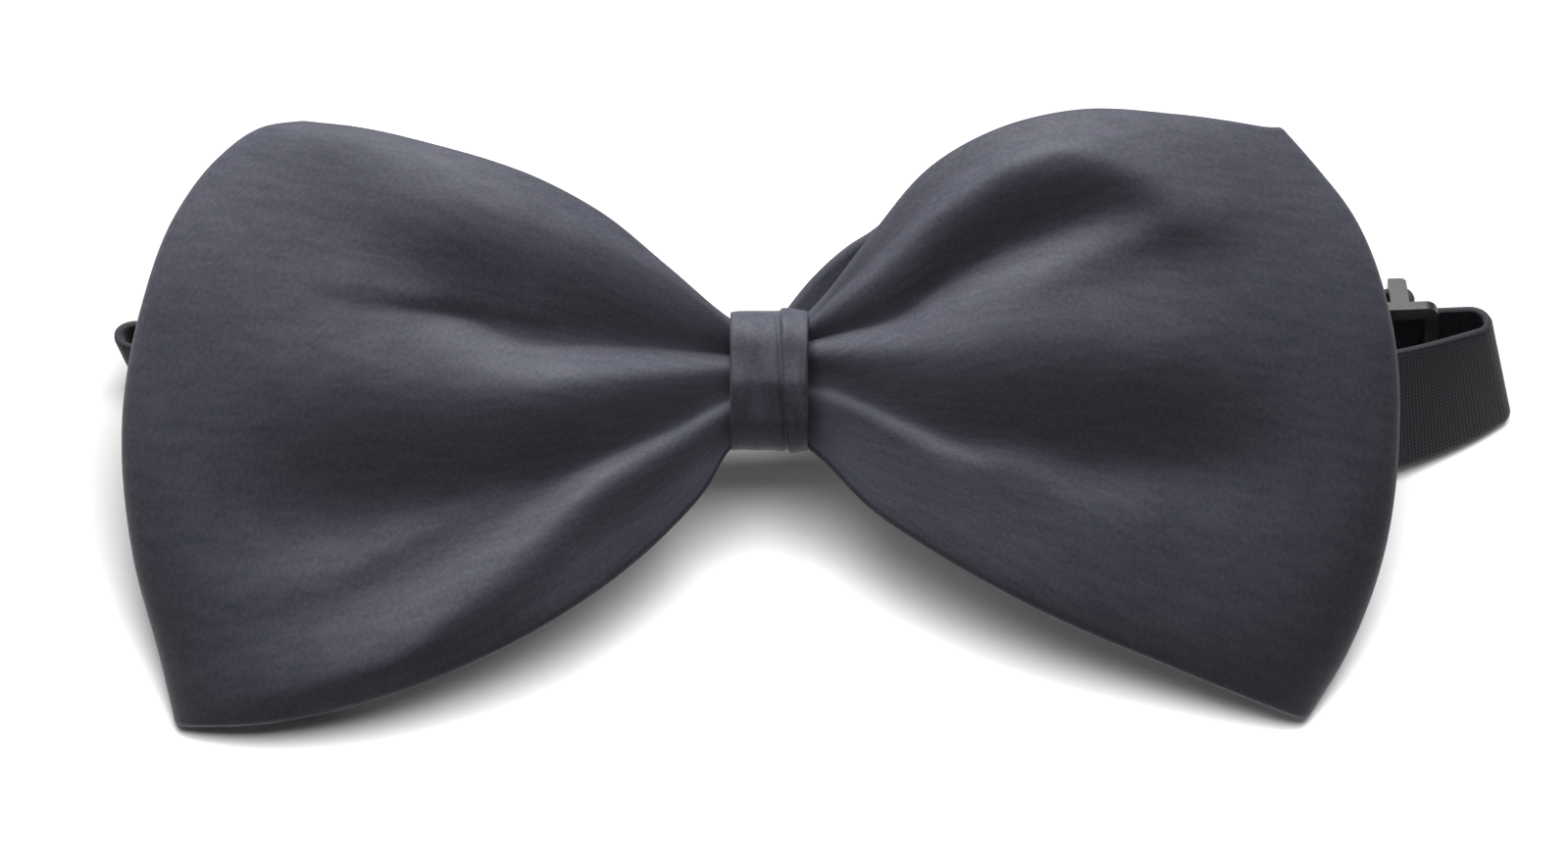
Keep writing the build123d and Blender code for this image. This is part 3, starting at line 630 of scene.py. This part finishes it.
def ribbon(name, middle, wide, half, slant=(0.0, 0.0, 0.0), columns=17):
    """A tape as a closed mesh: a flat section with rounded edges and a slightly thick selvedge, carried along
    its middle line, with both ends closed. wide is the direction of its width, and slant is added to it
    unturned."""
    middle = np.asarray(middle, float)
    along = np.gradient(middle, axis=0)
    along /= np.linalg.norm(along, axis=1, keepdims=True)
    wide = np.broadcast_to(wide, middle.shape)
    wide = wide - (wide * along).sum(1, keepdims=True) * along
    wide = wide / np.linalg.norm(wide, axis=1, keepdims=True)
    out = np.cross(along, wide)
    half = np.broadcast_to(half, len(middle))
    slant = np.broadcast_to(slant, middle.shape)
    share = np.sin(np.linspace(-math.pi / 2, math.pi / 2, columns))
    thick = 0.5 * TAPE_THICKNESS * np.sqrt(np.clip(1 - np.abs(share) ** 24, 0, 1))
    thick = thick * (0.9 + 0.1 * ease((np.abs(share) - 0.8) / 0.1))
    section_w = np.r_[share, share[-2:0:-1]]
    section_t = np.r_[thick, -thick[-2:0:-1]]
    ring = (
        middle[:, None]
        + (half[:, None] * section_w)[..., None] * (wide + slant)[:, None]
        + section_t[None, :, None] * out[:, None]
    )
    rows, around = ring.shape[:2]
    index = np.arange(rows * around).reshape(rows, around)
    following = np.roll(index, -1, 1)
    faces = list(np.stack([index[:-1], following[:-1], following[1:], index[1:]], -1).reshape(-1, 4))
    for row, flip in ((index[0], 1), (index[-1], -1)):
        for k in range(1, columns - 2):
            faces.append([row[k], row[around - k], row[around - k - 1], row[k + 1]][::flip])
        first = [row[0], row[around - 1], row[1], row[1]]
        faces.append(first[::flip])
        last = [row[columns - 1], row[columns - 2], row[columns], row[columns]]
        faces.append(last[::flip])
    quads = [f for f in faces if len(set(f)) == 4]
    triangles = [list(dict.fromkeys(f)) for f in faces if len(set(f)) == 3]
    gone = np.r_[0, np.cumsum(np.linalg.norm(np.diff(middle, axis=0), axis=1))]
    uv = np.stack([np.broadcast_to(gone[:, None], (rows, around)), half[:, None] * section_w], -1)
    return add_mesh(name, ring.reshape(-1, 3), quads, uv.reshape(-1, 2), also=triangles)


def hem_path(bar_along, bar_out, ply_out, first_out):
    """Middles of a hem seen from above: in on one ply, round the bar, and back on the other to its end."""
    far, near = bar_along - HEM_LENGTH, bar_along - HEM_THROAT
    side = np.sign(first_out - ply_out)
    angle = np.linspace(side * 1.9, -side * 1.9, 24)
    loop_along = bar_along + WRAP_RADIUS * np.cos(angle)
    loop_out = bar_out + WRAP_RADIUS * np.sin(angle)
    half = 0.5 * TAPE_THICKNESS
    alongs = np.r_[far, 0.5 * (far + near), near, loop_along, near, 0.5 * (far + near), far]
    outs = np.r_[[ply_out + side * half] * 3, loop_out, [ply_out - side * half] * 3]
    return curve_through(np.stack([alongs, outs], -1), np.linspace(0, 1, 90))


tape, tree, shader = material(
    "woven_tape", (0.04, 0.04, 0.052), 0.62, Sheen_Weight=0.15, Specular_IOR_Level=0.3
)
coords = node(tree, "ShaderNodeTexCoord")
ribs = node(tree, "ShaderNodeTexWave", [("Vector", coords.outputs["UV"])], Scale=800.0, Distortion=1.2)
ribs.inputs["Detail Scale"].default_value = 3.0
warp = node(tree, "ShaderNodeTexWave", [("Vector", coords.outputs["UV"])], p_bands_direction="Y", Scale=900.0)
crossing = node(
    tree, "ShaderNodeMath", [(0, ribs.outputs["Fac"]), (1, warp.outputs["Fac"])], p_operation="MULTIPLY"
)
tone = node(tree, "ShaderNodeMix", [("Factor", crossing.outputs["Value"])], p_data_type="RGBA")
tone.inputs["A"].default_value = (0.019, 0.020, 0.027, 1)
tone.inputs["B"].default_value = (0.033, 0.034, 0.045, 1)
bump = node(tree, "ShaderNodeBump", [("Height", crossing.outputs["Value"])], Strength=0.6, Distance=0.00012)
tree.links.new(tone.outputs["Result"], shader.inputs["Base Color"])
tree.links.new(bump.outputs["Normal"], shader.inputs["Normal"])

# Right half: out of the knot, round the right fold, along the long run and round the hook's bar
middle, wide, half, turn = front_run(1, 70)
skew = math.atan2(along_back[1], along_back[0])
arc = fold_arc(right_fold, turn - math.pi / 2, math.pi / 2 + skew, 24)[1:]
straight = on_run(np.linspace(0, hook_along, 120)[1:-1], 0.0)
angle = np.linspace(-math.pi / 2, -3 * math.pi / 2, 24)
wrap = on_run(hook_along + WRAP_RADIUS * np.cos(angle), hook_out + WRAP_RADIUS * np.sin(angle))
path = np.vstack([middle, arc, straight, wrap])
widths, halves, near_fold = after_front_run(path, wide, half)
right_strap = ribbon("right_strap", path, widths, halves, slant=near_fold * [RIGHT_FOLD_SLANT, 0, 0])
right_strap.data.materials.append(tape)
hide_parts("strap_front_run", "strap_right_bend", "strap_long_run")
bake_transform(right_strap)

# Left half: out of the knot, round the left fold and round the eye's bar, its end turned back and stitched
middle, wide, half, turn = front_run(-1, 70)
to_bar = (eye_bar - left_fold)[:2]
swing = math.atan2(to_bar[1], to_bar[0])
swing = swing - math.asin((FOLD_RADIUS - 0.5 * TAPE_THICKNESS) / math.hypot(*to_bar))
short_along = np.array([math.cos(swing), math.sin(swing), 0.0])
short_outward = np.array([-math.sin(swing), math.cos(swing), 0.0])
arc = fold_arc(left_fold, 3 * math.pi / 2 - turn, math.pi / 2 + swing, 24)[1:]
hem = hem_path(0.0, 0.0, 0.0, TAPE_THICKNESS)
hem = eye_bar * [1, 1, 0] + upright * tape_height + hem[:, :1] * short_along + hem[:, 1:] * short_outward
steps = np.linspace(0, 1, 14)[1:-1, None]
path = np.vstack([middle, arc, arc[-1] + steps * (hem[0] - arc[-1]), hem])
widths, halves, near_fold = after_front_run(path, wide, half)
path = path + near_fold * [LEFT_FOLD_SHIFT, 0, 0]
left_strap = ribbon("left_strap", path, widths, halves, slant=near_fold * [LEFT_FOLD_SLANT, 0, 0])
left_strap.data.materials.append(tape)
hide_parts("strap_front_run", "strap_left_bend", "strap_short_run")
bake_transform(left_strap)

# Return run: on the real strap it gathers up towards the hook as the adjuster slides; here it is a fixed length
# carried with the long strap
low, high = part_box("strap_return_run")
return_start = from_run((high[0], high[1], tape_height))[0]
path = on_run(np.linspace(hook_along, return_start, 110), return_out)
return_strap = ribbon("return_strap", path, upright, HALF_TAPE)
return_strap.data.materials.append(tape)
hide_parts("strap_return_run")
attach(return_strap, "long_strap")
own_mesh(return_strap)

# Hem round the adjuster's middle bar
low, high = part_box("adjuster_frame")
adjuster_along = from_run((0.5 * (low[0] + high[0]), 0.5 * (low[1] + high[1]), tape_height))[0]
hem = hem_path(adjuster_along, ADJUSTER_BAR_OUT, return_out - 0.5 * TAPE_THICKNESS, return_out)
adjuster_hem = ribbon("adjuster_hem_tape", on_run(hem[:, 0], hem[:, 1]), upright, HALF_TAPE)
adjuster_hem.data.materials.append(tape)
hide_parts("adjuster_hem")
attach(adjuster_hem, "adjuster")

# ---------------------------------------------------------------- adjuster, hook and eye
# Die cast and wire pieces plated dark nickel, a little rubbed. Their shapes are the CAD's own.

metal, tree, shader = material("dark_nickel", (0.2, 0.2, 0.195), 0.36, Metallic=0.9)
coords = node(tree, "ShaderNodeTexCoord")
rubbed = node(tree, "ShaderNodeTexNoise", [("Vector", coords.outputs["Object"])], Scale=420.0, Detail=6.0)
tone = node(tree, "ShaderNodeMix", [("Factor", rubbed.outputs["Fac"])], p_data_type="RGBA")
tone.inputs["A"].default_value = (0.045, 0.046, 0.044, 1)
tone.inputs["B"].default_value = (0.15, 0.151, 0.147, 1)
dull = node(tree, "ShaderNodeMapRange", [("Value", rubbed.outputs["Fac"])])
dull.inputs["To Min"].default_value = 0.5
dull.inputs["To Max"].default_value = 0.28
scratches = node(tree, "ShaderNodeTexNoise", [("Vector", coords.outputs["Object"])], Scale=2600.0, Detail=2.0)
bump = node(tree, "ShaderNodeBump", [("Height", scratches.outputs["Fac"])], Strength=0.2, Distance=0.00004)
tree.links.new(tone.outputs["Result"], shader.inputs["Base Color"])
tree.links.new(dull.outputs["Result"], shader.inputs["Roughness"])
tree.links.new(bump.outputs["Normal"], shader.inputs["Normal"])
for name in ("adjuster_frame", "clasp_hook", "clasp_eye"):
    frame["nodes"][name].material_slots[0].material = metal
